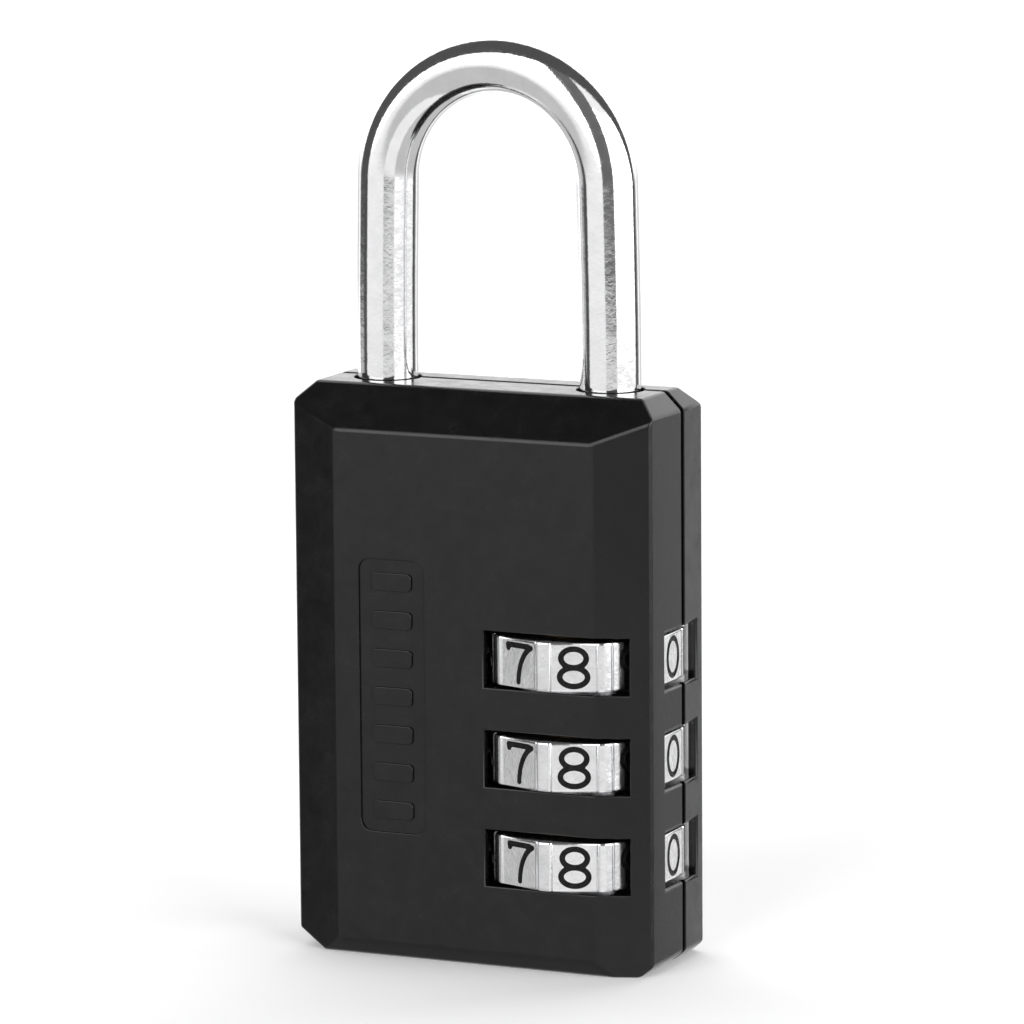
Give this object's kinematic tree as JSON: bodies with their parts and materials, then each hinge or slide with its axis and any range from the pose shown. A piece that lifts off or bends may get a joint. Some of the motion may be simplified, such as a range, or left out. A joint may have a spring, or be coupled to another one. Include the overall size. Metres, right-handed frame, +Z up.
{
  "type": "combination padlock",
  "caption": "Pocket combination padlock: black bevelled case, chrome shackle, and number dials stacked on one upright axis beside the shackle's heel leg.",
  "frame": {"origin": "middle of the bottom face, in the upright plane that holds the dial axis and halves the case's thickness", "axes": "+Z up towards the shackle, +X to the right seen from the front (the dials' side), +Y to the back"},
  "size_m": [0.0302, 0.0154, 0.0714],
  "materials": {
    "case": "satin black paint on cast zinc, faint grain",
    "shackle_chrome": "bright chrome plate with a slight orange peel",
    "dial_chrome": "bright chrome plate, black filled numbers",
    "raw_zinc": "bare die-cast zinc",
    "brass": "turned brass",
    "steel": "plain steel pin stock",
    "spring_steel": "bright spring steel"
  },
  "bodies": {
    "case": {"front_shell": "case", "rear_shell": "case", "case_pins": "steel", "spindle_guide_pin": "steel", "dial_washers": "spring_steel", "detent_spring": "spring_steel", "detent_rivets": "steel", "lift_spring": "spring_steel", "spring_guide_pin": "steel"},
    "shackle_unit": {"shackle": "shackle_chrome", "lift_block": "raw_zinc", "heel_pin": "steel", "spindle": "brass", "spring_washer": "spring_steel"},
    "dial_top_unit": {"dial_top": "dial_chrome", "sleeve_top": "brass"},
    "dial_middle_unit": {"dial_middle": "dial_chrome", "sleeve_middle": "brass"},
    "dial_bottom_unit": {"dial_bottom": "dial_chrome", "sleeve_bottom": "brass"}
  },
  "joints": [
    {"name": "shackle_lift", "type": "slide", "parent": "case", "child": "shackle_unit", "axis": [0, 0, 1], "range_m": [0, 0.00774], "deforming": ["lift_spring"]},
    {"name": "dial_top_turn", "type": "hinge", "parent": "case", "child": "dial_top_unit", "pos_m": [0.0072, 0, 0.0241], "axis": [0, 0, 1], "continuous": true},
    {"name": "dial_middle_turn", "type": "hinge", "parent": "case", "child": "dial_middle_unit", "pos_m": [0.0072, 0, 0.01636], "axis": [0, 0, 1], "continuous": true},
    {"name": "dial_bottom_turn", "type": "hinge", "parent": "case", "child": "dial_bottom_unit", "pos_m": [0.0072, 0, 0.00862], "axis": [0, 0, 1], "continuous": true}
  ]
}
